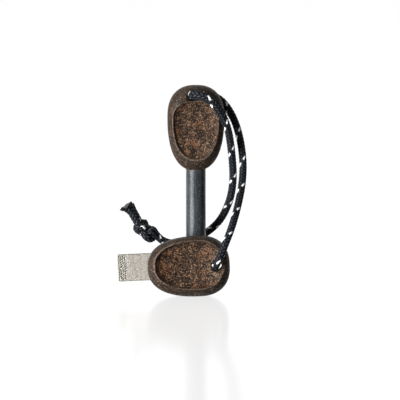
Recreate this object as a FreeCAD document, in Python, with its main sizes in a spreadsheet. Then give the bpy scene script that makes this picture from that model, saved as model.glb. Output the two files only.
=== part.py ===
import FreeCAD, Part
import math
import os

import Sketcher

# A camping firesteel: a ferrocerium rod and a steel striker, each moulded into an egg-shaped
# handle, joined by one loop of braided cord whose two ends are tied in an overhand knot.
# The rod stands upright on its flat foot, at the origin. +Z is up the rod, and -Y is the front,
# where the striker stands on edge. Lengths are in millimetres and angles in degrees.

SIZES = {
    # Rod
    "rod_diameter": 9.5,
    "rod_length": 76.0,
    "rod_chamfer": 0.6,
    "shank_groove_depth": 0.5,
    "shank_groove_width": 2.0,
    "shank_groove_first": 64.0,
    "shank_groove_pitch": 5.0,
    # Both handles
    "grip_thickness": 16.0,
    "grip_edge_round": 6.0,
    "outline_power": 2.4,
    "dish_overlap": 0.6,
    "cord_hole_diameter": 5.2,
    # Rod handle: its widest point is the height given here, above the foot
    "rod_grip_height": 83.9,
    "rod_grip_half_width": 13.6,
    "rod_grip_blunt_length": 15.4,
    "rod_grip_narrow_length": 25.4,
    "rod_dish_half_width": 12.5,
    "rod_dish_up": 9.0,
    "rod_dish_down": 20.0,
    "rod_dish_depth": 3.2,
    "rod_dish_rise": -0.4,
    "rod_hole_side": -1.2,
    "rod_hole_rise": 11.0,
    # Striker handle: its widest point, and how far its narrow end dips
    "striker_place_x": 1.3,
    "striker_place_y": -16.4,
    "striker_place_z": 14.31,
    "striker_dip": 2.5,
    "striker_grip_half_width": 14.25,
    "striker_grip_blunt_length": 14.9,
    "striker_grip_narrow_length": 24.2,
    "striker_dish_half_width": 13.2,
    "striker_dish_up": 12.6,
    "striker_dish_down": 21.4,
    "striker_dish_depth": 3.6,
    "striker_dish_side": -0.5,
    "striker_hole_rise": 8.5,
    # Blade
    "blade_thickness": 2.0,
    "blade_width": 13.1,
    "blade_reach": 38.6,
    "blade_tang_end": 9.0,
    "blade_side": -0.7,
    "blade_corner": 0.9,
    "tang_hole_diameter": 3.0,
    "tang_hole_first": 13.5,
    "tang_hole_pitch": 5.5,
    # Cord
    "cord_diameter": 3.6,
    "tail_1_flare_diameter": 6.2,
    "tail_2_flare_diameter": 4.6,
    "tail_flare_length": 3.6,
    "core_diameter": 2.4,
    "core_depth": 1.6,
    "knot_half_length": 6.6,
    "knot_half_height": 4.5,
    "knot_half_depth": 7.0,
    "knot_tilt": 32.0,
}

# The cord's route, as the corners between its straight runs. Both halves start in the middle of
# the rod handle's cord hole.
HOLE_MIDDLE = (-1.2, 0.4, 94.9)

INNER_ROUTE = [
    HOLE_MIDDLE,
    (-1.2, -3.8, 94.9),
    (-1.1, -8.1, 95.2),
    (1.4, -10.6, 95.6),
    (5.0, -10.9, 94.3),
    (8.9, -10.6, 91.4),
    (11.6, -9.6, 87.5),
    (13.9, -8.0, 83.0),
    (15.6, -6.0, 78.0),
    (16.7, -3.5, 71.1),
    (17.6, -1.5, 62.8),
    (18.0, 1.0, 54.4),
    (17.2, 3.6, 46.8),
    (15.2, 6.0, 40.0),
    (12.2, 7.8, 34.0),
    (8.4, 9.2, 29.6),
    (3.9, 9.9, 26.2),
    (-1.5, 10.0, 23.9),
    (-6.6, 9.8, 22.2),
    (-11.4, 9.3, 21.8),
    (-15.7, 8.8, 23.0),
    (-19.6, 8.3, 25.6),
]

OUTER_ROUTE = [
    HOLE_MIDDLE,
    (-1.2, 4.6, 94.9),
    (-1.0, 8.2, 95.0),
    (1.5, 10.7, 95.0),
    (5.4, 11.0, 94.2),
    (9.0, 10.9, 92.9),
    (12.4, 10.3, 90.7),
    (15.6, 9.0, 87.0),
    (18.4, 7.0, 82.4),
    (20.4, 4.5, 76.6),
    (21.9, 2.0, 69.9),
    (22.75, -1.0, 61.5),
    (22.3, -5.0, 53.4),
    (20.9, -10.0, 46.0),
    (18.9, -15.6, 38.9),
    (16.8, -20.6, 32.8),
    (14.5, -24.2, 27.4),
    (12.5, -25.8, 22.3),
    (10.5, -26.2, 17.0),
    (9.9, -23.8, 14.6),
    (9.8, -18.4, 14.8),
    (9.9, -12.0, 14.7),
    (9.8, -5.5, 14.9),
    (9.7, 0.8, 15.6),
    (8.2, 6.6, 17.2),
    (4.3, 10.6, 18.6),
    (-0.6, 12.9, 19.4),
    (-6.2, 13.6, 19.6),
    (-11.7, 13.2, 20.4),
    (-16.2, 12.5, 22.6),
    (-19.5, 12.0, 25.6),
]

# The tails leave the knot side by side, one behind the other.
TAIL_ROUTES = {
    "lanyard_tail_1": [(-27.6, 8.4, 31.2), (-29.5, 8.1, 34.9), (-31.9, 7.9, 38.8)],
    "lanyard_tail_2": [(-27.4, 12.0, 31.2), (-28.8, 12.8, 34.2), (-30.4, 14.1, 36.8)],
}
KNOT_MIDDLE = (-24.0, 10.1, 28.2)

ARC_SHARE = 0.45  # the share of the shorter run that an arc takes on each side of its corner
OUTLINE_STEPS = 10  # points on each quarter of a handle's outline

doc = FreeCAD.newDocument("firesteel")


def fill_sheet():
    """Puts every driving dimension in its own named cell."""
    sheet = doc.addObject("Spreadsheet::Sheet", "Sizes")
    for row, (name, value) in enumerate(SIZES.items(), start=1):
        sheet.set(f"A{row}", name)
        sheet.set(f"B{row}", str(value))
        sheet.setAlias(f"B{row}", name)
    doc.recompute()
    return sheet


sheet = fill_sheet()


def size(name):
    """A driving dimension, as the sheet holds it."""
    return float(getattr(sheet, name))


def bind(item, **formulas):
    """Binds properties of an object to formulas over the sheet's cells."""
    for name, formula in formulas.items():
        item.setExpression(name, formula)


def label(item, name):
    item.Label = name
    return item


def origin_plane(body, role):
    for feature in body.Origin.OriginFeatures:
        if feature.Role == role:
            return feature
    raise ValueError(role)


def sketch_on(body, name, role):
    sketch = body.newObject("Sketcher::SketchObject", name)
    sketch.AttachmentSupport = [(origin_plane(body, role), "")]
    sketch.MapMode = "FlatFace"
    return sketch


def dimension(sketch, kind, place, formula):
    """A size on a sketch, bound to the sheet. The place is the geometry it measures."""
    index = sketch.addConstraint(Sketcher.Constraint(kind, *place, value_of(formula)))
    sketch.setExpression(f"Constraints[{index}]", formula)


def value_of(formula):
    """What a formula over the sheet's cells comes to."""
    return float(sheet.evalExpression(formula))


def from_origin(sketch, kind, line, formula):
    """Holds the start of a sketch line at a signed distance from the sketch's origin."""
    if value_of(formula) > 0:
        dimension(sketch, kind, (-1, 1, line, 1), formula)
    else:
        dimension(sketch, kind, (line, 1, -1, 1), f"-({formula})")


def rectangle(sketch, left, right, low, high):
    """Four lines, held by formulas for where the rectangle's sides lie."""
    xs = [value_of(left), value_of(right), value_of(right), value_of(left)]
    ys = [value_of(low), value_of(low), value_of(high), value_of(high)]
    corners = [FreeCAD.Vector(x, y, 0) for x, y in zip(xs, ys)]
    first = sketch.GeometryCount
    for here, there in zip(corners, corners[1:] + corners[:1]):
        sketch.addGeometry(Part.LineSegment(here, there))
    for side in range(4):
        meets = first + (side + 1) % 4
        sketch.addConstraint(Sketcher.Constraint("Coincident", first + side, 2, meets, 1))
        way = "Vertical" if side % 2 else "Horizontal"
        sketch.addConstraint(Sketcher.Constraint(way, first + side))
    from_origin(sketch, "DistanceX", first, left)
    from_origin(sketch, "DistanceX", first + 2, right)
    from_origin(sketch, "DistanceY", first, low)
    from_origin(sketch, "DistanceY", first + 2, high)


# ---------------------------------------------------------------- handles


def egg_outline(half_width, blunt, narrow):
    """The closed outline of a handle in the XZ plane: a superellipse whose upper half is shorter
    than its lower half. The blunt end is at +Z."""
    power = 2.0 / size("outline_power")
    points = []
    for step in range(4 * OUTLINE_STEPS):
        turn = 2.0 * math.pi * step / (4 * OUTLINE_STEPS)
        across, along = math.cos(turn), math.sin(turn)
        reach = blunt if along > 0 else narrow
        x = half_width * math.copysign(abs(across) ** power, across)
        z = reach * math.copysign(abs(along) ** power, along)
        points.append(FreeCAD.Vector(x, 0, z))
    curve = Part.BSplineCurve()
    curve.interpolate(points, PeriodicFlag=True)
    return Part.Face(Part.Wire([curve.toShape()]))


def egg_blank(name, frame, half_width, blunt, narrow):
    """The handle before it is dished: the outline made thick, with its edges rounded."""
    outline = doc.addObject("Part::Feature", f"{name}_outline")
    outline.Shape = egg_outline(size(half_width), size(blunt), size(narrow))
    outline.Placement = frame
    plate = doc.addObject("Part::Extrusion", f"{name}_plate")
    plate.Base = outline
    plate.DirMode = "Custom"
    plate.Dir = FreeCAD.Vector(0, 1, 0)
    plate.Solid = True
    bind(plate, LengthFwd="Sizes.grip_thickness / 2", LengthRev="Sizes.grip_thickness / 2")
    doc.recompute()
    blank = doc.addObject("Part::Fillet", f"{name}_blank")
    blank.Base = plate
    radius = size("grip_edge_round")
    rims = [i for i, edge in enumerate(plate.Shape.Edges, start=1) if flat_edge(edge)]
    blank.Edges = [(i, radius, radius) for i in rims]
    return blank


def flat_edge(edge):
    """True for an edge that lies in a plane across Y, as the two rims do."""
    return edge.BoundBox.YLength < 0.01


def dish(name, frame, side, half_width, up, down, depth, middle):
    """The cutter for one dished face: two half ellipsoids that share their middle section.
    side is -1 for the front face and 1 for the back."""
    halves = []
    for end, reach in (("blunt", up), ("narrow", down)):
        half = doc.addObject("Part::Ellipsoid", f"{name}_{end}")
        bind(half, Radius1=f"Sizes.{reach}", Radius2=f"Sizes.{half_width}", Radius3=f"Sizes.{depth}")
        half.Angle1 = 0 if end == "blunt" else -90
        half.Angle2 = 90 if end == "blunt" else 0
        half.Angle3 = 360
        out = side * (size("grip_thickness") / 2 + size("dish_overlap"))
        half.Placement = frame.multiply(
            FreeCAD.Placement(middle + FreeCAD.Vector(0, out, 0), FreeCAD.Rotation())
        )
        halves.append(half)
    cutter = doc.addObject("Part::MultiFuse", name)
    cutter.Shapes = halves
    return cutter


def cord_hole(name, frame, middle):
    """The hole through both faces for the cord."""
    hole = doc.addObject("Part::Cylinder", name)
    bind(hole, Radius="Sizes.cord_hole_diameter / 2", Height="2 * Sizes.grip_thickness")
    start = middle + FreeCAD.Vector(0, -size("grip_thickness"), 0)
    turned = FreeCAD.Rotation(FreeCAD.Vector(1, 0, 0), -90)
    hole.Placement = frame.multiply(FreeCAD.Placement(start, turned))
    return hole


def handle(name, blank, cutters):
    """The finished handle, moulded round its metal part."""
    tool = doc.addObject("Part::MultiFuse", f"{name}_hollows")
    tool.Shapes = cutters
    finished = doc.addObject("Part::Cut", name)
    finished.Base = blank
    finished.Tool = tool
    return label(finished, name)


# ---------------------------------------------------------------- rod


def make_rod():
    """The ferrocerium bar. Its lower end is the striking length and the foot; its upper end is
    the shank in the handle, with two grooves that the moulding fills."""
    body = doc.addObject("PartDesign::Body", "ferro_rod")
    section = sketch_on(body, "rod_section", "XY_Plane")
    section.addGeometry(Part.Circle(FreeCAD.Vector(0, 0, 0), FreeCAD.Vector(0, 0, 1), 4.0))
    section.addConstraint(Sketcher.Constraint("Coincident", 0, 3, -1, 1))
    dimension(section, "Radius", (0,), "Sizes.rod_diameter / 2")
    bar = body.newObject("PartDesign::Pad", "rod_bar")
    bar.Profile = section
    bind(bar, Length="Sizes.rod_length")
    doc.recompute()
    ends = body.newObject("PartDesign::Chamfer", "rod_ends")
    rims = [i for i, edge in enumerate(bar.Shape.Edges, start=1) if edge.BoundBox.ZLength < 0.01]
    ends.Base = (bar, [f"Edge{i}" for i in rims])
    bind(ends, Size="Sizes.rod_chamfer")
    doc.recompute()
    profile = sketch_on(body, "groove_profile", "XZ_Plane")
    for count in range(2):
        low = f"Sizes.shank_groove_first + {count} * Sizes.shank_groove_pitch"
        rectangle(
            profile,
            left="Sizes.rod_diameter / 2 - Sizes.shank_groove_depth",
            right="Sizes.rod_diameter / 2 + 1",
            low=low,
            high=f"{low} + Sizes.shank_groove_width",
        )
    groove = body.newObject("PartDesign::Groove", "shank_grooves")
    groove.Profile = profile
    groove.ReferenceAxis = (profile, ["V_Axis"])
    groove.Angle = 360
    doc.recompute()
    return label(body, "ferro_rod")


# ---------------------------------------------------------------- blade


def make_blade(frame):
    """The steel plate. It lies in the striker handle's middle plane: the tip stands out of the
    narrow end, and the tang inside has two holes that the moulding fills."""
    body = doc.addObject("PartDesign::Body", "striker_blade")
    plan = sketch_on(body, "blade_plan", "XZ_Plane")
    rectangle(
        plan,
        left="Sizes.blade_side - Sizes.blade_width / 2",
        right="Sizes.blade_side + Sizes.blade_width / 2",
        low="-Sizes.blade_reach",
        high="-Sizes.blade_tang_end",
    )
    plate = body.newObject("PartDesign::Pad", "blade_plate")
    plate.Profile = plan
    plate.Midplane = True
    bind(plate, Length="Sizes.blade_thickness")
    doc.recompute()
    tip = plate.Shape.BoundBox.ZMin
    corner_edges = [
        f"Edge{i}"
        for i, edge in enumerate(plate.Shape.Edges, start=1)
        if edge.BoundBox.YLength > 1.0 and edge.BoundBox.ZMin < tip + 0.01
    ]
    rounded = body.newObject("PartDesign::Fillet", "tip_corners")
    rounded.Base = (plate, corner_edges)
    bind(rounded, Radius="Sizes.blade_corner")
    doc.recompute()
    holes = sketch_on(body, "tang_holes_plan", "XZ_Plane")
    for count in range(2):
        level = f"Sizes.tang_hole_first + {count} * Sizes.tang_hole_pitch"
        middle = FreeCAD.Vector(size("blade_side"), -value_of(level), 0)
        holes.addGeometry(Part.Circle(middle, FreeCAD.Vector(0, 0, 1), size("tang_hole_diameter") / 2))
        dimension(holes, "Radius", (count,), "Sizes.tang_hole_diameter / 2")
        dimension(holes, "DistanceX", (count, 3, -1, 1), "-Sizes.blade_side")
        dimension(holes, "DistanceY", (count, 3, -1, 1), level)
    pocket = body.newObject("PartDesign::Pocket", "tang_holes")
    pocket.Profile = holes
    pocket.Type = "ThroughAll"
    pocket.Midplane = True
    doc.recompute()
    body.Placement = frame
    return label(body, "striker_blade")


# ---------------------------------------------------------------- cord


def rounded_path(points):
    """A wire of straight runs joined by tangent arcs."""
    corners = [FreeCAD.Vector(*p) for p in points]
    edges = []
    at = corners[0]
    smallest = math.inf
    for before, corner, after in zip(corners, corners[1:], corners[2:]):
        back = before - corner
        on = after - corner
        trim = ARC_SHARE * min(back.Length, on.Length)
        turn = math.pi - back.getAngle(on)
        radius = trim / math.tan(turn / 2)
        smallest = min(smallest, radius)
        print(f"    turn {math.degrees(turn):5.1f} degrees, radius {radius:6.1f}")
        back.normalize()
        on.normalize()
        start = corner + back * trim
        end = corner + on * trim
        towards = back + on
        towards.normalize()
        middle = corner + towards * (radius / math.cos(turn / 2) - radius)
        edges.append(Part.LineSegment(at, start).toShape())
        edges.append(Part.Arc(start, middle, end).toShape())
        at = end
    edges.append(Part.LineSegment(at, corners[-1]).toShape())
    print(f"  smallest radius {smallest:.1f}")
    return Part.Wire(edges)


def tube(points, diameter):
    """A round solid that follows the route."""
    path = rounded_path(points)
    start = FreeCAD.Vector(*points[0])
    ahead = FreeCAD.Vector(*points[1]) - start
    ring = Part.Wire([Part.Circle(start, ahead, diameter / 2).toShape()])
    solid = path.makePipeShell([ring], True, True)
    plain_volume = math.pi * diameter**2 / 4 * path.Length
    share = solid.Volume / plain_volume
    print(f"  length {path.Length:.1f}, volume {share:.4f} of section times length")
    return solid


def cord_piece(name, shape):
    piece = doc.addObject("Part::Feature", name)
    piece.Shape = shape
    piece.Placement = FreeCAD.Placement()
    return label(piece, name)


def make_tail(name, points):
    """A cut tail: the cord, then its flared end, hollowed for the core that shows there."""
    end = FreeCAD.Vector(*points[-1])
    ahead = end - FreeCAD.Vector(*points[-2])
    ahead.normalize()
    cord_radius = size("cord_diameter") / 2
    flare_radius = size(f"{name.removeprefix('lanyard_')}_flare_diameter") / 2
    flare = Part.makeCone(cord_radius, flare_radius, size("tail_flare_length"), end, ahead)
    mouth = end + ahead * size("tail_flare_length")
    core_start = mouth - ahead * size("core_depth")
    core = Part.makeCylinder(size("core_diameter") / 2, size("core_depth"), core_start, ahead)
    sheath = tube(points, size("cord_diameter")).fuse(flare).cut(core)
    cord_piece(name, sheath.removeSplitter())
    cord_piece(name.replace("tail", "core"), core)


def make_knot():
    """The outer shape of the tied knot."""
    knot = doc.addObject("Part::Ellipsoid", "lanyard_knot")
    bind(knot, Radius1="Sizes.knot_half_height", Radius2="Sizes.knot_half_length")
    bind(knot, Radius3="Sizes.knot_half_depth")
    turned = FreeCAD.Rotation(FreeCAD.Vector(0, 1, 0), size("knot_tilt"))
    knot.Placement = FreeCAD.Placement(FreeCAD.Vector(*KNOT_MIDDLE), turned)
    return label(knot, "lanyard_knot")


# ---------------------------------------------------------------- assembly


def main():
    rod_frame = FreeCAD.Placement(FreeCAD.Vector(0, 0, size("rod_grip_height")), FreeCAD.Rotation())
    striker_place = FreeCAD.Vector(*(size(f"striker_place_{axis}") for axis in "xyz"))
    # A quarter turn about Y lays the blunt end along +X; the dip takes a little of it back.
    lay = FreeCAD.Rotation(FreeCAD.Vector(0, 1, 0), 90 - size("striker_dip"))
    striker_frame = FreeCAD.Placement(striker_place, lay)

    rod = make_rod()
    rod_blank = egg_blank(
        "rod_grip", rod_frame, "rod_grip_half_width", "rod_grip_blunt_length", "rod_grip_narrow_length"
    )
    rod_dish_middle = FreeCAD.Vector(0, 0, size("rod_dish_rise"))
    rod_dish_sizes = ("rod_dish_half_width", "rod_dish_up", "rod_dish_down", "rod_dish_depth")
    rod_hole_middle = FreeCAD.Vector(size("rod_hole_side"), 0, size("rod_hole_rise"))
    rod_cutters = [
        dish("rod_front_dish", rod_frame, -1, *rod_dish_sizes, rod_dish_middle),
        dish("rod_back_dish", rod_frame, 1, *rod_dish_sizes, rod_dish_middle),
        cord_hole("rod_cord_hole", rod_frame, rod_hole_middle),
        rod,
    ]
    rod_handle = handle("rod_handle", rod_blank, rod_cutters)

    blade = make_blade(striker_frame)
    striker_blank = egg_blank(
        "striker_grip",
        striker_frame,
        "striker_grip_half_width",
        "striker_grip_blunt_length",
        "striker_grip_narrow_length",
    )
    striker_dish_middle = FreeCAD.Vector(size("striker_dish_side"), 0, 0)
    striker_dish_sizes = (
        "striker_dish_half_width",
        "striker_dish_up",
        "striker_dish_down",
        "striker_dish_depth",
    )
    striker_cutters = [
        dish("striker_front_dish", striker_frame, -1, *striker_dish_sizes, striker_dish_middle),
        dish("striker_back_dish", striker_frame, 1, *striker_dish_sizes, striker_dish_middle),
        cord_hole("striker_cord_hole", striker_frame, FreeCAD.Vector(0, 0, size("striker_hole_rise"))),
        blade,
    ]
    striker_handle = handle("striker_handle", striker_blank, striker_cutters)

    print("inner strand")
    inner = cord_piece("lanyard_inner_strand", tube(INNER_ROUTE, size("cord_diameter")))
    print("outer strand")
    outer = cord_piece("lanyard_outer_strand", tube(OUTER_ROUTE, size("cord_diameter")))
    for name, points in TAIL_ROUTES.items():
        print(name)
        make_tail(name, points)
    knot = make_knot()
    doc.recompute()

    bad = [item.Name for item in doc.Objects if {"Invalid", "Error"} & set(item.State)]
    if bad:
        raise RuntimeError(f"these objects failed: {bad}")
    pieces = [rod_handle, rod, striker_handle, blade, inner, outer, knot]
    pieces += [item for item in doc.Objects if item.Label in TAIL_ROUTES]
    pieces += [item for item in doc.Objects if item.Label.startswith("lanyard_core")]
    for piece in pieces:
        if piece.Shape.isNull() or not piece.Shape.isValid():
            raise RuntimeError(f"{piece.Label} has no valid shape")
    os.makedirs("parts", exist_ok=True)
    for piece in pieces:
        print(f"{piece.Label:22} solids {len(piece.Shape.Solids)} volume {piece.Shape.Volume:9.1f}")
        piece.Shape.exportStep(f"parts/{piece.Label}.step")


main()
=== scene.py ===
"""A camping firesteel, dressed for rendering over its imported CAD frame.

The two dished egg handles, the ferrocerium rod, the steel striker plate and the braided cord with
its overhand knot are built as meshes in code. Shapes are worked out in millimetres, in the
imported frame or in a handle's own frame, and become metres when the mesh is made.
"""

import math

import bmesh
import bpy
import numpy as np
from mathutils import Matrix, Vector, noise

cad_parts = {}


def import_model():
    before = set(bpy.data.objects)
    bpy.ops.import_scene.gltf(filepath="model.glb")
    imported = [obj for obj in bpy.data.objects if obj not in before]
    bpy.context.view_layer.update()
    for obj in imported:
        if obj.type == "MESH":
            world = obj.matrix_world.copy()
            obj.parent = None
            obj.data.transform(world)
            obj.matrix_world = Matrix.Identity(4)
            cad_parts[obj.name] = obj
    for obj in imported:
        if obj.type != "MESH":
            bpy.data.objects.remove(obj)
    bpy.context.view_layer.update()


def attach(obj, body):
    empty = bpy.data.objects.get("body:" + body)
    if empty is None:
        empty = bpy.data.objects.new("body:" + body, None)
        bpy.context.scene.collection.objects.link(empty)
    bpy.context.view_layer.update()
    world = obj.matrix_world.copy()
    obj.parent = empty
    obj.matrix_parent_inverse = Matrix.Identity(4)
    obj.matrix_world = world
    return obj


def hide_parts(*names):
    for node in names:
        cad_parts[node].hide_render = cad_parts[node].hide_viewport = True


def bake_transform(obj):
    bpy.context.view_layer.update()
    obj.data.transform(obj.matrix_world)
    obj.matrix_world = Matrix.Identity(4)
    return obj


MM = 0.001

# The handles' frames: the widest point of each, and how far each is turned about Y
ROD_GRIP_PLACE = (0.0, 0.0, 83.9)
STRIKER_GRIP_PLACE = (1.3, -16.4, 14.31)
STRIKER_TURN = 87.5

GRIP_HALF_THICKNESS = 8.0
GRIP_EDGE_ROUND = 6.0
GRIP_VOXEL = 0.23  # the size of the finished handle's mesh
OUTLINE_POINTS = 320
OUTLINE_POWER = 2.4
LIP_POWER = 2.35  # the lip round a dish is a little rounder than the outline
CORD_HOLE_RADIUS = 2.6

ROD_RADIUS = 4.75
ROD_LENGTH = 76.0

CORD_DIAMETER = 3.6
BRAID_PITCH = 14.0
BRAID_CARRIERS = 16
BRAID_STEP = 0.2
BRAID_SIDES = 64
CORE_SEED = 10

# The cord's route: the corners that its line is drawn between, in millimetres
HOLE_MIDDLE = (-1.2, 0.4, 94.9)

INNER_ROUTE = [
    HOLE_MIDDLE,
    (-1.6, -3.8, 94.9),
    (-1.7, -8.1, 95.1),
    (1.4, -10.6, 95.6),
    (5.0, -10.9, 94.3),
    (8.9, -10.6, 91.4),
    (11.6, -9.6, 87.5),
    (13.9, -8.0, 83.0),
    (15.6, -6.0, 78.0),
    (16.7, -3.5, 71.1),
    (17.6, -1.5, 62.8),
    (18.0, 1.0, 54.4),
    (17.2, 3.6, 46.8),
    (15.2, 6.0, 40.0),
    (12.2, 7.8, 34.0),
    (8.4, 9.2, 29.6),
    (3.9, 9.9, 26.2),
    (-1.5, 10.0, 23.9),
    (-6.6, 9.8, 22.2),
    (-11.4, 9.3, 21.8),
    (-15.7, 8.8, 23.0),
    (-19.4, 8.4, 25.9),
]

OUTER_ROUTE = [
    HOLE_MIDDLE,
    (-1.2, 4.6, 94.9),
    (-1.0, 8.2, 95.0),
    (1.5, 10.7, 95.0),
    (5.4, 11.0, 94.2),
    (9.0, 10.9, 92.9),
    (12.4, 10.3, 90.7),
    (15.6, 9.0, 87.0),
    (18.4, 7.0, 82.4),
    (20.4, 4.5, 76.6),
    (21.9, 2.0, 69.9),
    (22.75, -1.0, 61.5),
    (22.3, -5.0, 53.4),
    (20.9, -10.0, 46.0),
    (18.9, -16.9, 38.9),
    (16.8, -22.4, 32.8),
    (14.5, -25.6, 27.4),
    (12.5, -26.3, 22.3),
    (10.5, -26.7, 17.9),
    (9.2, -24.3, 14.8),
    (9.2, -18.4, 14.4),
    (9.2, -12.0, 14.4),
    (9.5, -5.5, 14.8),
    (9.7, 0.8, 15.6),
    (8.2, 6.6, 17.2),
    (4.3, 10.6, 18.6),
    (-0.6, 12.9, 19.4),
    (-6.2, 13.6, 19.6),
    (-11.7, 13.2, 20.4),
    (-16.2, 12.5, 22.6),
    (-19.4, 12.0, 25.9),
]

TAIL_ROUTES = {
    "front": [(-27.6, 8.4, 31.2), (-29.4, 8.1, 34.6), (-31.5, 7.9, 38.0), (-33.3, 7.7, 40.6)],
    "back": [(-27.4, 12.0, 31.2), (-28.8, 12.8, 34.2), (-30.4, 14.1, 36.8), (-32.0, 15.5, 39.4)],
}

KNOT_MIDDLE = (-24.0, 8.4, 28.2)
KNOT_TILT = 34.0
KNOT_DEPTH = 3.4  # how far each strand swings to the front and the back
KNOT_STRAND_GAP = 3.5  # the second strand lies this far behind the first
KNOT_LENGTH_SCALE = 1.75
KNOT_HEIGHT_SCALE = 1.15


# ---------------------------------------------------------------- node graphs


class Graph:
    """A node material, with short calls for the nodes that these materials use."""

    def __init__(self, name):
        self.material = bpy.data.materials.new(name)
        self.material.use_nodes = True
        self.tree = self.material.node_tree
        self.shader = self.tree.nodes["Principled BSDF"]

    def feed(self, socket, value):
        if isinstance(value, bpy.types.NodeSocket):
            self.tree.links.new(value, socket)
        else:
            socket.default_value = value

    def add(self, kind, sockets=None, **settings):
        node = self.tree.nodes.new(kind)
        for name, value in settings.items():
            setattr(node, name, value)
        for name, value in (sockets or {}).items():
            self.feed(node.inputs[name], value)
        return node

    def math(self, operation, *values):
        node = self.add("ShaderNodeMath", dict(enumerate(values)), operation=operation)
        return node.outputs[0]

    def mix(self, share, first, second):
        """A colour between two, by a share from 0 to 1."""
        node = self.add("ShaderNodeMix", data_type="RGBA")
        self.feed(node.inputs[0], share)
        self.feed(node.inputs[6], first)
        self.feed(node.inputs[7], second)
        return node.outputs[2]

    def blend_values(self, share, first, second):
        node = self.add("ShaderNodeMix", {0: share, 2: first, 3: second}, data_type="FLOAT")
        return node.outputs[0]

    def span(self, value, low, high, to_low=0.0, to_high=1.0):
        """A value's range moved to another, held within it, with soft ends."""
        node = self.add(
            "ShaderNodeMapRange",
            {"Value": value, "From Min": low, "From Max": high, "To Min": to_low, "To Max": to_high},
            interpolation_type="SMOOTHSTEP",
        )
        return node.outputs[0]

    def millimetres(self):
        """The place on the piece, in millimetres."""
        place = self.add("ShaderNodeTexCoord").outputs["Object"]
        scaled = self.add("ShaderNodeVectorMath", {0: place, "Scale": 1 / MM}, operation="SCALE")
        return scaled.outputs[0]

    def stretched(self, place, scale, turn=(0.0, 0.0, 0.0)):
        """The place turned by angles in degrees and then scaled, for a texture with a direction."""
        angles = tuple(math.radians(angle) for angle in turn)
        turned = self.add(
            "ShaderNodeMapping", {"Vector": place, "Rotation": angles}, vector_type="TEXTURE"
        )
        grown = self.add("ShaderNodeMapping", {"Vector": turned.outputs[0], "Scale": scale})
        return grown.outputs[0]

    def noise(self, place, scale, detail=3.0, roughness=0.55):
        node = self.add(
            "ShaderNodeTexNoise",
            {"Vector": place, "Scale": scale, "Detail": detail, "Roughness": roughness},
        )
        return node.outputs["Fac"]

    def bump(self, height, distance, strength):
        """Bumps from a height of 0 to 1. The distance is in millimetres."""
        sockets = {"Height": height, "Distance": distance * MM, "Strength": strength}
        return self.add("ShaderNodeBump", sockets).outputs[0]

    def surface(self, **sockets):
        """Feeds the shader. An underscore stands for the space in a socket's name."""
        for name, value in sockets.items():
            self.feed(self.shader.inputs[name.replace("_", " ")], value)
        return self.material


def grey(value):
    return (value, value, value, 1.0)


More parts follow.
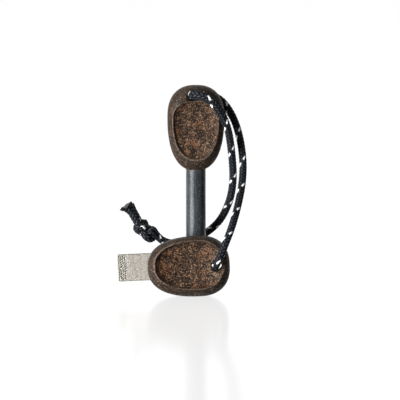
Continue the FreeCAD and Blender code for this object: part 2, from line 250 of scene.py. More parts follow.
def composite_material():
    """Moulded wood fibre: dark brown, with tan and rust fibres that show most in the dish, and a
    painted highlight along the lip round it."""
    graph = Graph("wood_fibre_composite")
    place = graph.millimetres()
    dish = graph.add("ShaderNodeAttribute", attribute_name="dish").outputs["Fac"]
    lip = graph.add("ShaderNodeAttribute", attribute_name="lip").outputs["Fac"]
    cloud = graph.noise(place, 0.15, 3.0)
    mottle = graph.noise(place, 1.0, 4.0, 0.7)
    fine = graph.noise(place, 4.0, 4.0, 0.7)

    deep = graph.mix(graph.span(mottle, 0.40, 0.62), (0.016, 0.0085, 0.0045, 1), (0.205, 0.121, 0.073, 1))
    rust = graph.mix(graph.span(cloud, 0.47, 0.66, 0.0, 0.6), deep, (0.175, 0.070, 0.028, 1))
    rim = graph.mix(graph.span(mottle, 0.38, 0.66), (0.009, 0.006, 0.0042, 1), (0.046, 0.033, 0.025, 1))
    colour = graph.mix(dish, rim, rust)
    height = graph.math("MULTIPLY", fine, 0.5)
    shown = graph.blend_values(dish, 0.55, 0.95)

    strands = [
        ((2.6, 2.6, 1.0), (25, 10, 35), 0.57, (0.21, 0.115, 0.060, 1)),
        ((1.0, 2.9, 2.9), (-20, 30, -15), 0.58, (0.17, 0.070, 0.027, 1)),
        ((2.9, 1.2, 2.2), (60, -35, 50), 0.60, (0.005, 0.003, 0.002, 1)),
        ((2.3, 2.3, 1.1), (10, 65, -40), 0.61, (0.30, 0.19, 0.115, 1)),
    ]
    for scale, turn, low, strand_colour in strands:
        streak = graph.noise(graph.stretched(place, scale, turn), 1.0, 3.0, 0.6)
        amount = graph.math("MULTIPLY", graph.span(streak, low, low + 0.07), shown)
        colour = graph.mix(amount, colour, strand_colour)
        height = graph.math("ADD", height, graph.math("MULTIPLY", amount, 0.3))

    chips = [
        ((1.8, 1.8, 0.9), (15, -40, 20), 0.70, (0.44, 0.29, 0.18, 1)),
        ((0.9, 1.9, 1.9), (-35, 15, 70), 0.82, (0.72, 0.58, 0.46, 1)),
    ]
    for scale, turn, rarity, chip_colour in chips:
        at = graph.stretched(place, scale, turn)
        cells = graph.add("ShaderNodeTexVoronoi", {"Vector": at, "Scale": 1.0, "Randomness": 1.0})
        chance = graph.add("ShaderNodeSeparateColor", {0: cells.outputs["Color"]}).outputs[0]
        chosen = graph.span(chance, rarity, rarity + 0.12)
        chip = graph.math("MULTIPLY", chosen, graph.span(cells.outputs["Distance"], 0.40, 0.12))
        amount = graph.math("MULTIPLY", chip, shown)
        colour = graph.mix(amount, colour, chip_colour)
        height = graph.math("ADD", height, graph.math("MULTIPLY", amount, 0.4))

    drift = graph.math("MULTIPLY_ADD", graph.noise(place, 0.30, 3.0), 0.34, -0.17)
    shade = graph.math("ADD", graph.noise(place, 1.6, 3.0, 0.72), drift)
    shadow = graph.math("MULTIPLY", graph.span(shade, 0.61, 0.45), graph.blend_values(dish, 0.6, 0.97))
    colour = graph.mix(shadow, colour, (0.004, 0.0022, 0.0012, 1))
    # Painted highlight: a pale line along the dish's lip, broken up by the mottle
    painted_lip_highlight = graph.math("MULTIPLY", lip, graph.span(mottle, 0.40, 0.62, 0.1, 0.75))
    colour = graph.mix(painted_lip_highlight, colour, (0.19, 0.142, 0.110, 1))
    rough = graph.span(graph.math("ADD", shade, fine), 0.80, 1.20, 0.80, 0.40)
    normal = graph.bump(height, 0.13, 0.8)
    return graph.surface(Base_Color=colour, Roughness=rough, Normal=normal, Specular_IOR_Level=0.16)


def ferro_material():
    """The cast ferrocerium bar: dark blue grey, with fine drag marks along it."""
    graph = Graph("ferrocerium")
    place = graph.millimetres()
    drag = graph.noise(graph.stretched(place, (3.2, 3.2, 0.09)), 1.0, 5.0, 0.6)
    grain = graph.noise(place, 1.9, 3.0, 0.7)
    patch = graph.noise(place, 0.16, 3.0)
    colour = graph.mix(graph.span(patch, 0.35, 0.7), (0.020, 0.024, 0.028, 1), (0.034, 0.040, 0.045, 1))
    colour = graph.mix(graph.span(drag, 0.45, 0.75, 0.0, 0.35), colour, (0.100, 0.105, 0.110, 1))
    colour = graph.mix(graph.span(grain, 0.54, 0.68, 0.0, 0.8), colour, (0.125, 0.135, 0.140, 1))
    colour = graph.mix(graph.span(grain, 0.46, 0.34, 0.0, 0.6), colour, (0.006, 0.008, 0.010, 1))
    rough = graph.span(graph.math("ADD", drag, grain), 0.7, 1.4, 0.20, 0.34)
    height = graph.math("ADD", graph.math("MULTIPLY", drag, 0.5), graph.math("MULTIPLY", grain, 0.7))
    normal = graph.bump(height, 0.09, 0.8)
    return graph.surface(Base_Color=colour, Roughness=rough, Normal=normal, Specular_IOR_Level=0.24)


def steel_material():
    """Bead-blasted and brushed striker steel, a warm pale grey, with painted shade in the tip's pits and a
    painted shadow line along the long edges.
    """
    graph = Graph("striker_steel")
    place = graph.millimetres()
    brush = graph.noise(graph.stretched(place, (2.0, 2.0, 0.14), (0, 2.5, 0)), 1.0, 3.0, 0.75)
    grain = graph.noise(place, 1.6, 3.0, 0.75)
    patch = graph.noise(place, 0.25, 3.0)
    colour = graph.mix(graph.span(brush, 0.35, 0.68), (0.24, 0.228, 0.198, 1), (0.365, 0.346, 0.306, 1))
    colour = graph.mix(graph.span(grain, 0.54, 0.36, 0.0, 0.6), colour, (0.16, 0.145, 0.12, 1))
    colour = graph.mix(graph.span(grain, 0.50, 0.66, 0.0, 0.6), colour, (0.70, 0.67, 0.62, 1))
    colour = graph.mix(graph.span(patch, 0.4, 0.7, 0.0, 0.35), colour, (0.38, 0.35, 0.305, 1))
    # Painted shade: darker in the pits by their depth, and a painted shadow line along the plate's long
    # side edges
    painted_pit_and_edge_shade = graph.add("ShaderNodeAttribute", attribute_name="painted_pit_and_edge_shade").outputs["Fac"]
    colour = graph.mix(graph.span(painted_pit_and_edge_shade, 0.05, 0.5, 0.0, 0.95), colour, (0.055, 0.048, 0.038, 1))
    rough = graph.span(grain, 0.3, 0.7, 0.42, 0.58)
    height = graph.math("ADD", graph.math("MULTIPLY", brush, 0.5), graph.math("MULTIPLY", grain, 0.5))
    normal = graph.bump(height, 0.04, 0.6)
    return graph.surface(Base_Color=colour, Roughness=rough, Normal=normal, Metallic=0.5)


def braid_material():
    """Black braid with one white carrier. The UV map runs once round the cord and once per pitch,
    so the same over-two, under-two weave that shaped the mesh picks each yarn here."""
    graph = Graph("braided_cord")
    uv = graph.add("ShaderNodeUVMap", uv_map="braid").outputs[0]
    axes = graph.add("ShaderNodeSeparateXYZ", {0: uv}).outputs
    half = BRAID_CARRIERS / 2
    right = graph.math("MULTIPLY", graph.math("SUBTRACT", axes[0], axes[1]), half)
    left = graph.math("MULTIPLY", graph.math("ADD", axes[0], axes[1]), half)
    right_number = graph.math("FLOOR", right)
    left_number = graph.math("FLOOR", left)
    turn = graph.math("FLOORED_MODULO", graph.math("ADD", right_number, left_number), 4.0)
    right_on_top = graph.math("LESS_THAN", turn, 2.0)
    white_carrier = graph.math("LESS_THAN", graph.math("FLOORED_MODULO", right_number, half), 0.5)
    across = graph.blend_values(right_on_top, graph.math("FRACT", left), graph.math("FRACT", right))
    filaments = graph.math("SINE", graph.math("MULTIPLY", across, math.tau * 5))
    edge = graph.math("ABSOLUTE", graph.math("SUBTRACT", across, 0.5))
    inside = graph.span(edge, 0.5, 0.40)
    white = graph.math("MULTIPLY", graph.math("MULTIPLY", right_on_top, white_carrier), inside)

    place = graph.millimetres()
    # Painted light on the black yarns: a painted highlight on each yarn's crown, its brightness varied by
    # noise
    highlight_noise = graph.noise(place, 0.8, 3.0)
    crown = graph.add("ShaderNodeAttribute", attribute_name="relief").outputs["Fac"]
    painted_crown_highlight = graph.mix(graph.span(highlight_noise, 0.35, 0.7), (0.026, 0.030, 0.036, 1), (0.056, 0.062, 0.071, 1))
    # Painted shade in the gaps between yarns, where the relief is low
    black_with_painted_shading = graph.mix(graph.span(crown, 0.55, 0.98), (0.0008, 0.0010, 0.0016, 1), painted_crown_highlight)
    black_with_painted_shading = graph.mix(graph.span(filaments, 0.0, 1.0, 0.0, 0.35), black_with_painted_shading, (0.0025, 0.003, 0.004, 1))
    colour = graph.mix(white, black_with_painted_shading, (0.86, 0.86, 0.84, 1))
    height = graph.math("MULTIPLY", graph.math("ADD", filaments, 1.0), 0.5)
    normal = graph.bump(height, 0.035, 0.7)
    return graph.surface(Base_Color=colour, Roughness=0.5, Normal=normal, Specular_IOR_Level=0.05)


def core_material():
    """The cut inner fibres of the cord."""
    graph = Graph("cord_core_fibres")
    place = graph.millimetres()
    streak = graph.noise(graph.stretched(place, (6.0, 6.0, 1.2), (0, -32, 0)), 1.0, 3.0)
    colour = graph.mix(graph.span(streak, 0.35, 0.68), (0.030, 0.023, 0.019, 1), (0.135, 0.108, 0.090, 1))
    normal = graph.bump(streak, 0.06, 0.6)
    return graph.surface(Base_Color=colour, Roughness=0.78, Normal=normal, Sheen_Weight=0.15)


# ---------------------------------------------------------------- meshes


def mesh_object(name, points, faces, frame=None):
    """A mesh object from points in millimetres, moved by a frame that is in millimetres too."""
    mesh = bpy.data.meshes.new(name)
    mesh.from_pydata([tuple(p) for p in points], [], faces)
    mesh.transform(Matrix.Scale(MM, 4) @ (frame or Matrix.Identity(4)))
    mesh.update()
    shape = bmesh.new()
    shape.from_mesh(mesh)
    bmesh.ops.recalc_face_normals(shape, faces=shape.faces)
    shape.to_mesh(mesh)
    shape.free()
    made = bpy.data.objects.new(name, mesh)
    bpy.context.scene.collection.objects.link(made)
    return made


def smooth_shaded(piece, material):
    piece.data.polygons.foreach_set("use_smooth", [True] * len(piece.data.polygons))
    piece.data.materials.clear()
    piece.data.materials.append(material)
    return piece


def band(first, second, count, faces, closed=True):
    """Quads between two rings whose first vertex numbers are given."""
    for step in range(count if closed else count - 1):
        after = (step + 1) % count
        faces.append((first + step, first + after, second + after, second + step))


def vertices_of(piece):
    """The piece's vertices as an array, in millimetres."""
    flat = np.zeros(len(piece.data.vertices) * 3)
    piece.data.vertices.foreach_get("co", flat)
    return flat.reshape(-1, 3) / MM


def set_vertices(piece, points):
    piece.data.vertices.foreach_set("co", (points * MM).ravel())
    piece.data.update()


def normals_of(piece):
    flat = np.zeros(len(piece.data.vertices) * 3)
    piece.data.vertices.foreach_get("normal", flat)
    return flat.reshape(-1, 3)


def mark(piece, name, values):
    """A number for each vertex, for the material to read."""
    attribute = piece.data.attributes.new(name, "FLOAT", "POINT")
    attribute.data.foreach_set("value", np.asarray(values, np.float32))


def smoothstep(low, high, value):
    share = np.clip((value - low) / (high - low), 0.0, 1.0)
    return share * share * (3.0 - 2.0 * share)


def apply_modifiers(piece):
    """Replaces the piece's mesh by what its modifiers make of it."""
    graph = bpy.context.evaluated_depsgraph_get()
    made = bpy.data.meshes.new_from_object(piece.evaluated_get(graph))
    piece.modifiers.clear()
    piece.data = made


def noise_at(points, scale, octaves):
    """Fractal noise of about -1 to 1 at each point; scale is in features per millimetre."""
    return np.array([noise.fractal(Vector(p) * scale, 0.7, 2.0, octaves) for p in points])


# ---------------------------------------------------------------- handles


def egg(half_width, up, down, count, middle=(0.0, 0.0), power=OUTLINE_POWER):
    """Points round a superellipse whose upper half is shorter than its lower half."""
    turn = np.linspace(0.0, math.tau, count, endpoint=False)
    across = np.cos(turn)
    along = np.sin(turn)
    reach = np.where(along > 0, up, down)
    x = half_width * np.sign(across) * np.abs(across) ** (2 / power)
    z = reach * np.sign(along) * np.abs(along) ** (2 / power)
    return np.stack([x + middle[0], z + middle[1]], axis=1)


def rim_height(points, outline):
    """Half the handle's thickness before it is dished: a flat face with rounded edges."""
    gaps = np.linalg.norm(points[:, None, :] - outline[None, :, :], axis=2).min(axis=1)
    inward = np.minimum(gaps, GRIP_EDGE_ROUND)
    rise = np.sqrt(np.maximum(GRIP_EDGE_ROUND**2 - (GRIP_EDGE_ROUND - inward) ** 2, 0.0))
    return GRIP_HALF_THICKNESS - GRIP_EDGE_ROUND + rise


def refined(outline):
    """The outline with three more points in each of its gaps."""
    after = np.roll(outline, -1, axis=0)
    return np.concatenate([outline + (after - outline) * share for share in (0, 0.25, 0.5, 0.75)])


def grip_half(outline, lip, middle, floor, step):
    """One face of a handle as rings from its edge to the middle of its dish, each point given as
    across, out and along. The dish falls from a raised lip by a steep step to a round floor."""
    sides = len(outline)
    fine_outline = refined(outline)
    bead_height = 0.34
    bead_spread = 0.13
    rings = []
    for share in np.linspace(0.0, 1.0, 27):
        flat = outline + (lip - outline) * share**1.8
        height = rim_height(flat, fine_outline)
        bead = bead_height * math.exp(-(((share - 1.0) / bead_spread) ** 2))
        rings.append(np.column_stack([flat[:, 0], height + bead, flat[:, 1]]))
    lip_height = rings[-1][:, 1]
    for ratio in np.linspace(1.0, 0.0, 44)[1:-1]:
        flat = middle + (lip - middle) * ratio
        bowl = 0.85 * ratio**2.1 + 0.15 * ratio**6
        wall = smoothstep(0.915, 0.995, np.full(sides, ratio))
        height = floor + (lip_height - step - floor) * bowl + step * wall
        rings.append(np.column_stack([flat[:, 0], height, flat[:, 1]]))
    return rings


def grip_solid(name, outline, lip, middle, floor, step):
    """The closed, dished handle in its own frame: X across, Y out of the face, Z along."""
    sides = len(outline)
    rings = grip_half(outline, lip, middle, floor, step)
    points = []
    faces = []
    starts = []
    for side in (-1.0, 1.0):
        for ring in rings:
            starts.append(len(points))
            points.extend(ring * np.array([1.0, side, 1.0]))
    per_side = len(rings)
    for side in range(2):
        for number in range(per_side - 1):
            band(starts[side * per_side + number], starts[side * per_side + number + 1], sides, faces)
    band(starts[0], starts[per_side], sides, faces)
    for side, way in ((0, -1.0), (1, 1.0)):
        centre = len(points)
        points.append(np.array([middle[0], way * floor, middle[1]]))
        last = starts[side * per_side + per_side - 1]
        faces.extend((last + k, last + (k + 1) % sides, centre) for k in range(sides))
    return mesh_object(name, points, faces)


def hole_cutter(middle, face_height):
    """The cord hole through a handle, its mouths rounded where they meet the faces."""
    sides = 64
    mouth = 0.9  # the radius that rounds each mouth
    reach = 12.0  # the cutter ends this far out, well clear of the faces
    profile = [(-reach, CORD_HOLE_RADIUS + mouth + 3.0)]
    for turn in np.linspace(90.0, 0.0, 9):
        angle = math.radians(turn)
        out = face_height - mouth + mouth * math.sin(angle)
        profile.append((-out, CORD_HOLE_RADIUS + mouth - mouth * math.cos(angle)))
    profile += [(-out, radius) for out, radius in reversed(profile)]
    points = []
    faces = []
    for out, radius in profile:
        for step in range(sides):
            angle = math.tau * step / sides
            points.append((middle[0] + radius * math.cos(angle), out, middle[1] + radius * math.sin(angle)))
    for number in range(len(profile) - 1):
        band(number * sides, (number + 1) * sides, sides, faces)
    faces.append(tuple(range(sides)))
    faces.append(tuple(range(len(points) - sides, len(points))))
    return mesh_object("hole_cutter", points, faces)


def make_grip(name, frame, outline, lip_sizes, floor, step, hole, hole_face, material):
    """A finished handle: dished solid, cord hole, an even remesh, then the moulded surface."""
    middle = np.array(lip_sizes["middle"])
    lip = egg(
        lip_sizes["half_width"], lip_sizes["up"], lip_sizes["down"], len(outline), middle, LIP_POWER
    )
    grip = grip_solid(name, outline, lip, middle, floor, step)
    cutter = hole_cutter(hole, hole_face)
    cut = grip.modifiers.new("hole", "BOOLEAN")
    cut.operation = "DIFFERENCE"
    cut.solver = "EXACT"
    cut.object = cutter
    even = grip.modifiers.new("even", "REMESH")
    even.mode = "VOXEL"
    even.voxel_size = GRIP_VOXEL * MM
    relax = grip.modifiers.new("relax", "SMOOTH")
    relax.factor = 0.5
    relax.iterations = 1
    bpy.context.view_layer.update()
    apply_modifiers(grip)
    bpy.data.objects.remove(cutter)

    points = vertices_of(grip)
    normals = normals_of(grip)
    flat = points[:, [0, 2]] - middle
    reach = np.where(flat[:, 1] > 0, lip_sizes["up"], lip_sizes["down"])
    powers = np.abs(flat[:, 0] / lip_sizes["half_width"]) ** LIP_POWER
    powers = powers + np.abs(flat[:, 1] / reach) ** LIP_POWER
    ratio = powers ** (1 / LIP_POWER)  # 0 in the middle of the dish and 1 on its lip
    dish = 1.0 - smoothstep(0.93, 1.0, ratio)
    broad = noise_at(points, 0.16, 2)
    pebble = noise_at(points, 0.9, 3)
    # Broad waves, and a pebbling that is stronger in the dish
    lift = 0.05 * broad + pebble * (0.018 + 0.045 * dish)
    set_vertices(grip, points + normals * lift[:, None])
    mark(grip, "dish", dish)
    # Where the lip is, which places the painted highlight along it
    mark(grip, "lip", np.exp(-(((ratio - 1.01) / 0.018) ** 2)))
    grip.data.transform(Matrix.Scale(MM, 4) @ frame @ Matrix.Scale(1 / MM, 4))
    return smooth_shaded(grip, material)


# ---------------------------------------------------------------- rod and blade


def make_rod(material):
    """The bar as a turned profile with a slightly uneven cast skin."""
    sides = 144
    chamfer = 0.6
    skin = 0.03  # how uneven the cast skin is
    profile = [
        (0.0, 0.0),
        (ROD_RADIUS * 0.5, 0.0),
        (ROD_RADIUS - chamfer - 0.15, 0.0),
        (ROD_RADIUS - chamfer, 0.03),
        (ROD_RADIUS - 0.08, chamfer - 0.08),
        (ROD_RADIUS, chamfer + 0.12),
    ]
    profile += [(ROD_RADIUS, z) for z in np.linspace(1.2, ROD_LENGTH, 130)]
    profile.append((0.0, ROD_LENGTH))
    points = []
    faces = []
    for radius, z in profile:
        for step in range(sides):
            angle = math.tau * step / sides
            uneven = 0.0
            if radius > ROD_RADIUS - 0.01 and z > 1.0:
                at = Vector((math.cos(angle) * 3.0, math.sin(angle) * 3.0, z * 0.12))
                uneven = skin * noise.fractal(at, 0.7, 2.0, 3)
            out = radius + uneven
            points.append((out * math.cos(angle), out * math.sin(angle), z))
    for number in range(len(profile) - 1):
        band(number * sides, (number + 1) * sides, sides, faces)
    rod = mesh_object("rod", points, faces)
    merged = bmesh.new()
    merged.from_mesh(rod.data)
    bmesh.ops.remove_doubles(merged, verts=merged.verts, dist=1e-7)
    merged.to_mesh(rod.data)
    merged.free()
    return smooth_shaded(rod, material)


def make_blade(frame, material):
    """The striker plate, with eased edges, rounded tip corners and a pitted band at its tip."""
    middle = -0.7
    half_width = 6.45
    tip = -38.6
    end = -9.0
    half_thickness = 1.0
    ease = 0.22
    corner = 1.1
    pit_band = 4.9
    pit_pitch = 1.12
    pit_depth = 0.24
    first_pit = 0.9
    row_share = 0.866  # the rows of a triangular grid stand this much closer than its columns
    across = np.concatenate([[-1.0], np.linspace(-1 + ease / half_width, 1 - ease / half_width, 95), [1.0]])
    # Rows close together over the pitted band, and further apart beyond it
    rows = [tip, tip + ease]
    rows += list(np.linspace(tip + ease + 0.12, tip + 6.0, 44))
    rows += list(np.linspace(tip + 6.4, end, 50))
    points = []
    painted_pit_and_edge_shade = []
    for side in (-1.0, 1.0):
        for z in rows:
            beyond = max(0.0, corner - (z - tip))
            width = half_width - corner + math.sqrt(max(corner**2 - beyond**2, 0.0))
            for share in across:
                x = middle + share * width
                eased = abs(share) == 1.0 or z == tip
                out = half_thickness - (ease if eased else 0.0)
                column = (x - middle) / pit_pitch
                row = (z - tip - first_pit) / (pit_pitch * row_share)
                column += 0.5 * (round(row) % 2)
                shift = 0.55 * noise.noise(Vector((round(column) * 3.1, side * 5.0, round(row) * 2.3)))
                away = math.hypot(column - round(column) + shift, (row - round(row) - shift) * row_share)
                pit = 0.0 if eased else (1.0 - float(smoothstep(0.16, 0.42, away)))
                inside = 1.0 - float(smoothstep(pit_band - 0.4, pit_band, z - tip))
                off_the_end = float(smoothstep(0.5, 0.9, z - tip))
                off_the_sides = 1.0 - float(smoothstep(5.7, 6.1, abs(x - middle)))
                inside *= off_the_end * off_the_sides
                wobble = 0.5 + 0.5 * noise.noise(Vector((x * 1.7, side * 3.0, z * 1.7)))
                depth = pit * inside * (0.55 + 0.6 * wobble)
                points.append((x, side * (out - pit_depth * depth), z))
                # Painted shade by each pit's depth, and a painted shadow line of 0.3 on the long side edges
                painted_pit_and_edge_shade.append(0.3 if abs(share) == 1.0 else depth)
    columns = len(across)
    count = len(rows) * columns
    faces = []
    for start in (0, count):
        for row in range(len(rows) - 1):
            band(start + row * columns, start + (row + 1) * columns, columns, faces, closed=False)
    loop = list(range(columns))
    loop += [row * columns + columns - 1 for row in range(1, len(rows))]
    loop += [count - 1 - step for step in range(1, columns)]
    loop += [row * columns for row in range(len(rows) - 2, 0, -1)]
    for here, there in zip(loop, loop[1:] + loop[:1]):
        faces.append((here, there, there + count, here + count))
    blade = mesh_object("striker_plate", points, faces, frame)
    mark(blade, "painted_pit_and_edge_shade", painted_pit_and_edge_shade)
    return smooth_shaded(blade, material)


# ---------------------------------------------------------------- cord


def knot_points(gap, start_turn, end_turn, count):
    """One strand's way through an overhand knot: three lobes, over and under in turn. Its tightest
    turns are smaller than the cord's own radius."""
    tilt = math.radians(KNOT_TILT)
    length = Vector((math.cos(tilt), 0.0, -math.sin(tilt)))
    height = Vector((math.sin(tilt), 0.0, math.cos(tilt)))
    points = []
    for turn in np.linspace(start_turn, end_turn, count):
        angle = math.radians(turn)
        across = math.sin(angle) + 2 * math.sin(2 * angle)
        up = 2 * math.cos(2 * angle) - math.cos(angle)
        depth = KNOT_DEPTH * math.sin(3 * angle) + gap
        place = Vector(KNOT_MIDDLE) + length * (KNOT_LENGTH_SCALE * across)
        place = place + height * (KNOT_HEIGHT_SCALE * up)
        points.append(tuple(place + Vector((0.0, depth, 0.0))))
    return points


def line_through(name, corners):
    """The NURBS line of a route, as its own points and the distance along it."""
    curve = bpy.data.curves.new(name, "CURVE")
    curve.dimensions = "3D"
    curve.resolution_u = 20
    spline = curve.splines.new("NURBS")
    spline.points.add(len(corners) - 1)
    for point, corner in zip(spline.points, corners):
        point.co = (*corner, 1.0)
    spline.order_u = 3
    spline.use_endpoint_u = True
    holder = bpy.data.objects.new(name, curve)
    bpy.context.scene.collection.objects.link(holder)
    drawn = bpy.data.meshes.new_from_object(holder)
    line = np.array([tuple(v.co) for v in drawn.vertices])
    bpy.data.objects.remove(holder)
    bpy.data.meshes.remove(drawn)
    run = np.concatenate([[0.0], np.cumsum(np.linalg.norm(np.diff(line, axis=0), axis=1))])
    keep = np.concatenate([[True], np.diff(run) > 1e-6])
    return line[keep], run[keep]


def frames_along(points):
    """Directions along the line and two across it, carried along without twist."""
    ahead = np.gradient(points, axis=0)
    ahead /= np.linalg.norm(ahead, axis=1)[:, None]
    side = np.cross(ahead[0], [0.0, 0.0, 1.0])
    side /= np.linalg.norm(side)
    sides = [side]
    for number in range(1, len(points)):
        side = sides[-1] - ahead[number] * np.dot(sides[-1], ahead[number])
        sides.append(side / np.linalg.norm(side))
    sides = np.array(sides)
    return ahead, sides, np.cross(ahead, sides)


def braid_relief(turn, along):
    """How far the yarn on top stands out, from 0 to 1: right-hand and left-hand yarns pass over
    two and under two. turn is the share of the way round, along is in pitches."""
    half = BRAID_CARRIERS / 2
    right = (turn - along) * half
    left = (turn + along) * half
    sum_of_numbers = (np.floor(right) + np.floor(left)) % 4
    right_on_top = sum_of_numbers < 2
    across = np.where(right_on_top, right - np.floor(right), left - np.floor(left)) - 0.5
    float_right = ((np.floor(right) + left) % 4) / 2
    float_left = ((right + np.floor(left)) % 4 - 2) / 2
    floated = np.clip(np.where(right_on_top, float_right, float_left), 0.0, 1.0)
    crown = np.sqrt(np.maximum(1.0 - (1.9 * np.abs(across)) ** 2, 0.0))
    arch = np.sin(math.pi * floated) ** 0.6
    return crown * (0.45 + 0.55 * arch)


def flare_shape(left, flare):
    """How much wider the cut sheath is, by the distance left to its end."""
    reach = 4.6
    return 1.0 + (flare - 1.0) * (1.0 - smoothstep(0.0, reach, left)) ** 1.4


def make_cord(name, corners, phase, slide, flare, lean, material):
    """A braided tube along a route, cut and flared at its far end. Returns it, its line and the
    frame of its mouth. phase turns the braid round the cord and slide moves it along, in pitches;
    lean is the direction that the flare opens towards most."""
    groove = 0.30  # how far below the cord's radius the valleys between yarns lie
    yarn_height = 0.36
    ragged_length = 0.7
    mouth_depth = 2.6
    line, run = line_through(f"{name}_line", corners)
    total = run[-1]
    count = int(round(total / BRAID_STEP)) + 1
    places = np.linspace(0.0, total, count)
    centre = np.stack([np.interp(places, run, line[:, axis]) for axis in range(3)], axis=1)
    centre = smooth_line(centre)
    ahead, side, up = frames_along(centre)
    turns = np.arange(BRAID_SIDES) / BRAID_SIDES
    angle = math.tau * turns
    out = side[:, None, :] * np.cos(angle)[None, :, None] + up[:, None, :] * np.sin(angle)[None, :, None]
    along = places / BRAID_PITCH + slide
    relief = braid_relief(turns[None, :] + phase, along[:, None])
    # The cord is fuller after the rod handle's hole and towards its cut end
    pressed = 0.17 * smoothstep(6.0, 10.0, places) * (1.0 - smoothstep(22.0, 36.0, places))
    pressed += 0.10 * smoothstep(13.0, 9.0, total - places)
    radius = ((CORD_DIAMETER / 2 - groove) + yarn_height * relief) * (1.0 + pressed)[:, None]
    open_ratio = flare_shape(total - places, flare)[:, None]
    facing = 0.5 + 0.5 * (out @ np.array(lean))
    radius = radius * (1.0 + (open_ratio - 1.0) * (0.35 + 1.15 * facing))
    tube = centre[:, None, :] + out * radius[:, :, None]
    ragged = np.array([noise.noise(Vector((k * 0.45, phase * 7.0, 2.0))) for k in range(BRAID_SIDES)])
    near_end = smoothstep(1.6, 0.0, total - places)[:, None]
    tube += ahead[:, None, :] * (near_end * ragged[None, :] * ragged_length)[:, :, None]

    # The open mouth: rings that go back inside the cut sheath
    rings = [tube[number] for number in range(count)]
    pitches = list(along)
    for depth, wall in ((0.0, 0.25), (0.15, 0.50), (0.9, 0.55), (1.8, 0.70), (mouth_depth, 1.0)):
        outer = tube[-1 - int(round(depth / BRAID_STEP))]
        hub = centre[-1 - int(round(depth / BRAID_STEP))]
        away = outer - hub
        away /= np.linalg.norm(away, axis=1)[:, None]
        rings.append(outer - away * wall)
        pitches.append(pitches[count - 1] + 0.01 * len(rings) / count)

    points = np.concatenate(rings)
    faces = []
    for number in range(len(rings) - 1):
        band(number * BRAID_SIDES, (number + 1) * BRAID_SIDES, BRAID_SIDES, faces)
    start_centre = len(points)
    end_centre = start_centre + 1
    inner_hub = centre[-1 - int(round(mouth_depth / BRAID_STEP))]
    points = np.concatenate([points, [centre[0], inner_hub]])
    last = (len(rings) - 1) * BRAID_SIDES
    for step in range(BRAID_SIDES):
        after = (step + 1) % BRAID_SIDES
        faces.append((after, step, start_centre))
        faces.append((last + step, last + after, end_centre))
    cord = mesh_object(name, points, faces)

    layer = cord.data.uv_layers.new(name="braid")
    around = np.append(np.tile(turns, len(rings)), [0.0, 0.0]) + phase
    forward = np.append(np.repeat(pitches, BRAID_SIDES), [slide, pitches[-1]])
    loops = np.zeros(len(cord.data.loops), int)
    cord.data.loops.foreach_get("vertex_index", loops)
    u = around[loops]
    v = forward[loops]
    for polygon in cord.data.polygons:
        span = slice(polygon.loop_start, polygon.loop_start + polygon.loop_total)
        if u[span].max() - u[span].min() > 0.5:
            u[span] = np.where(u[span] < u[span].max() - 0.5, u[span] + 1.0, u[span])
    layer.data.foreach_set("uv", np.stack([u, v], axis=1).ravel())
    smooth_shaded(cord, material)
    # The relief places the painted crown highlights and the painted shade between yarns
    inside = np.zeros(len(points) - relief.size)
    mark(cord, "relief", np.concatenate([relief.ravel(), inside]))
    path = [tuple(point * MM) for point in centre]
    mouth = (centre[-1], ahead[-1], side[-1], up[-1])
    return cord, path, mouth


def smooth_line(points):
    """Evens out the small steps between the points read from a line, its ends held."""
    for _ in range(6):
        points[1:-1] = 0.25 * points[:-2] + 0.5 * points[1:-1] + 0.25 * points[2:]
    return points


def make_core(name, mouth, radius, material):
    """The bundle of cut fibres in a tail's mouth, each a thin bent strand of its own length."""
    centre, ahead, side, up = mouth
    rng = np.random.default_rng(CORE_SEED)
    points = []
    faces = []
    sides = 6
    levels = 6
    root = 2.3  # how deep in the mouth the strands start
    golden = math.pi * (3 - math.sqrt(5))
    strands = 46
    for strand in range(strands):
        spread = radius * math.sqrt((strand + 0.5) / strands)
        angle = strand * golden
        foot = side * math.cos(angle) + up * math.sin(angle)
        reach = 0.1 + rng.uniform(-0.55, 0.35)
        thickness = rng.uniform(0.15, 0.24)
        stray = (side * rng.normal() + up * rng.normal()) * 0.14
        for share in np.linspace(0.0, 1.0, levels):
            hub = centre + ahead * (-root + (root + reach) * share) + foot * spread * (0.62 + 0.38 * share)
            hub = hub + stray * share**2
            thin = thickness * (1.0 - 0.35 * share**3)
            for k in range(sides):
                corner = math.tau * k / sides
                points.append(hub + (side * math.cos(corner) + up * math.sin(corner)) * thin)
        first = len(points) - levels * sides
        for level in range(levels - 1):
            band(first + level * sides, first + (level + 1) * sides, sides, faces)
        faces.append(tuple(range(first, first + sides)))
        faces.append(tuple(range(len(points) - sides, len(points))))
    return smooth_shaded(mesh_object(name, points, faces), material)


# ---------------------------------------------------------------- studio


def add_camera():
    """A long lens, a little above the object, square on to its front."""
    target = Vector((2.0, 0.0, 44.06)) * MM
    elevation = math.radians(6.5)
    distance = 1.6
    camera = bpy.data.objects.new("camera", bpy.data.cameras.new("camera"))
    camera.data.sensor_width = 36.0
    camera.data.lens = 300.0
    camera.data.clip_start = 0.1
    back = Vector((0.0, -math.cos(elevation), math.sin(elevation)))
    camera.location = target + back * distance
    camera.rotation_euler = (math.pi / 2 - elevation, 0.0, 0.0)
    bpy.context.scene.collection.objects.link(camera)
    bpy.context.scene.camera = camera


def add_light(name, place, aim, size, power):
    """A large soft panel. The places are in millimetres and the power in watts."""
    lamp = bpy.data.lights.new(name, "AREA")
    lamp.shape = "RECTANGLE"
    lamp.size = size[0] * MM
    lamp.size_y = size[1] * MM
    lamp.energy = power
    holder = bpy.data.objects.new(name, lamp)
    holder.location = Vector(place) * MM
    facing = Vector(aim) - Vector(place)
    holder.rotation_euler = facing.to_track_quat("-Z", "Y").to_euler()
    bpy.context.scene.collection.objects.link(holder)


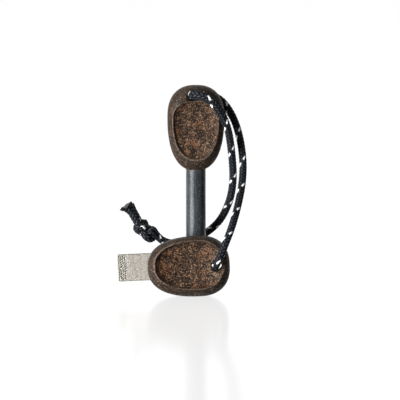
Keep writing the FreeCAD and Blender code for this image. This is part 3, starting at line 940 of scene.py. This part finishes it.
def add_floor():
    """A white sheet, lit evenly from within, with a weak, soft reflection. It lights nothing, blocks
    no light and shows in no reflection."""
    graph = Graph("studio_floor")
    nodes = graph.tree.nodes
    nodes.remove(graph.shader)
    glow = graph.add("ShaderNodeEmission", {"Color": grey(1.0), "Strength": 0.73})
    plain = graph.add("ShaderNodeBsdfDiffuse", {"Color": grey(0.1)})
    gloss = graph.add("ShaderNodeBsdfGlossy", {"Color": grey(0.25), "Roughness": 0.16})
    lit = graph.add("ShaderNodeAddShader", {0: glow.outputs[0], 1: plain.outputs[0]})
    both = graph.add("ShaderNodeAddShader", {0: lit.outputs[0], 1: gloss.outputs[0]})
    graph.tree.links.new(both.outputs[0], nodes["Material Output"].inputs[0])
    half = 4000.0
    level = -0.02  # just under the rod's end
    corners = [(x * half, y * half, level) for x, y in ((-1, -1), (1, -1), (1, 1), (-1, 1))]
    floor = mesh_object("studio_floor", corners, [(0, 1, 2, 3)])
    floor.data.materials.append(graph.material)
    floor.visible_diffuse = False
    floor.visible_glossy = False
    floor.visible_shadow = False


def add_backdrop():
    """A white dome all round, which lights nothing and shows in no reflection."""
    graph = Graph("studio_backdrop")
    nodes = graph.tree.nodes
    nodes.remove(graph.shader)
    glow = graph.add("ShaderNodeEmission", {"Color": grey(1.0), "Strength": 1.05})
    graph.tree.links.new(glow.outputs[0], nodes["Material Output"].inputs[0])
    dome_radius = 3.9  # in metres
    shape = bmesh.new()
    bmesh.ops.create_uvsphere(shape, u_segments=48, v_segments=24, radius=dome_radius)
    mesh = bpy.data.meshes.new("studio_backdrop")
    shape.to_mesh(mesh)
    shape.free()
    dome = bpy.data.objects.new("studio_backdrop", mesh)
    bpy.context.scene.collection.objects.link(dome)
    mesh.materials.append(graph.material)
    dome.visible_diffuse = False
    dome.visible_glossy = False
    dome.visible_transmission = False
    dome.visible_shadow = False


def add_world():
    """Ambient light: bright behind the object, dim in front of it, and a little from the floor."""
    world = bpy.data.worlds.new("studio")
    bpy.context.scene.world = world
    world.use_nodes = True
    nodes = world.node_tree.nodes
    links = world.node_tree.links
    way = nodes.new("ShaderNodeTexCoord")
    parts = nodes.new("ShaderNodeSeparateXYZ")
    links.new(way.outputs["Generated"], parts.inputs[0])
    total = nodes.new("ShaderNodeMath")
    total.operation = "ADD"
    spans = (("Y", 0.0, 0.8, 0.07, 1.0), ("Z", 0.0, -0.5, 0.0, 0.22))
    for number, (axis, low, high, to_low, to_high) in enumerate(spans):
        level = nodes.new("ShaderNodeMapRange")
        level.interpolation_type = "SMOOTHSTEP"
        level.inputs["From Min"].default_value = low
        level.inputs["From Max"].default_value = high
        level.inputs["To Min"].default_value = to_low
        level.inputs["To Max"].default_value = to_high
        links.new(parts.outputs[axis], level.inputs["Value"])
        links.new(level.outputs[0], total.inputs[number])
    nodes["Background"].inputs["Color"].default_value = grey(1.0)
    links.new(total.outputs[0], nodes["Background"].inputs["Strength"])


def add_studio():
    add_world()
    bpy.context.scene.view_settings.view_transform = "Standard"
    middle = (0.0, 0.0, 45.0)
    add_light("key", (-560.0, -470.0, 90.0), middle, (460.0, 800.0), 18.0)
    add_light("fill", (560.0, -420.0, 120.0), middle, (300.0, 400.0), 0.2)
    add_light("top", (-60.0, 40.0, 620.0), middle, (400.0, 400.0), 0.6)
    add_floor()
    add_backdrop()


# ---------------------------------------------------------------- the firesteel


def main():
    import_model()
    add_camera()

    braid = braid_material()
    knot_turns = (205.0, 515.0, 17)  # from and to, in degrees, and the number of corners
    left = (-0.85, 0.0, 0.2)
    # Route, how far back it lies in the knot, tail, the braid's turn and slide, and the flare
    strands = {
        "inner_cord": (INNER_ROUTE, 0.0, "front", 0.177, 0.81, 1.78),
        "outer_cord": (OUTER_ROUTE, KNOT_STRAND_GAP, "back", 0.208, 0.19, 1.28),
    }
    replaced = {
        "inner_cord": ("lanyard_inner_strand", "lanyard_tail_1", "lanyard_knot"),
        "outer_cord": ("lanyard_outer_strand", "lanyard_tail_2"),
    }
    cores = {"inner_cord": "lanyard_core_1", "outer_cord": "lanyard_core_2"}
    fibres = core_material()
    for name, (route, gap, tail, phase, slide, flare) in strands.items():
        corners = route + knot_points(gap, *knot_turns) + TAIL_ROUTES[tail]
        cord, path, mouth = make_cord(name, corners, phase, slide, flare, left, braid)
        core = make_core(f"{name}_core", mouth, 1.1 * flare, fibres)
        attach(core, "lanyard")
        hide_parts(cores[name])
        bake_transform(cord)
        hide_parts(*replaced[name])

    composite = composite_material()
    rod_frame = Matrix.Translation(Vector(ROD_GRIP_PLACE))
    striker_frame = Matrix.Translation(Vector(STRIKER_GRIP_PLACE)) @ Matrix.Rotation(
        math.radians(STRIKER_TURN), 4, "Y"
    )
    rod_grip = make_grip(
        "rod_grip",
        rod_frame,
        egg(half_width=13.6, up=15.4, down=25.4, count=OUTLINE_POINTS),
        {"half_width": 10.9, "up": 8.6, "down": 19.2, "middle": (0.0, -0.4)},
        floor=5.1,
        step=0.75,
        hole=(-1.2, 11.0),
        hole_face=7.85,
        material=composite,
    )
    striker_grip = make_grip(
        "striker_grip",
        striker_frame,
        egg(half_width=14.25, up=14.9, down=24.2, count=OUTLINE_POINTS),
        {"half_width": 11.4, "up": 11.6, "down": 20.7, "middle": (-1.4, 0.0)},
        floor=3.4,
        step=0.9,
        hole=(0.0, 8.5),
        hole_face=5.95,
        material=composite,
    )
    rod = make_rod(ferro_material())
    blade = make_blade(striker_frame, steel_material())
    for piece, body, node, slot in (
        (rod_grip, "rod_unit", "rod_handle", "grip_composite"),
        (rod, "rod_unit", "ferro_rod", "ferrocerium"),
        (striker_grip, "striker_unit", "striker_handle", "grip_composite"),
        (blade, "striker_unit", "striker_blade", "blade_steel"),
    ):
        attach(piece, body)
        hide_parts(node)

    add_studio()


main()
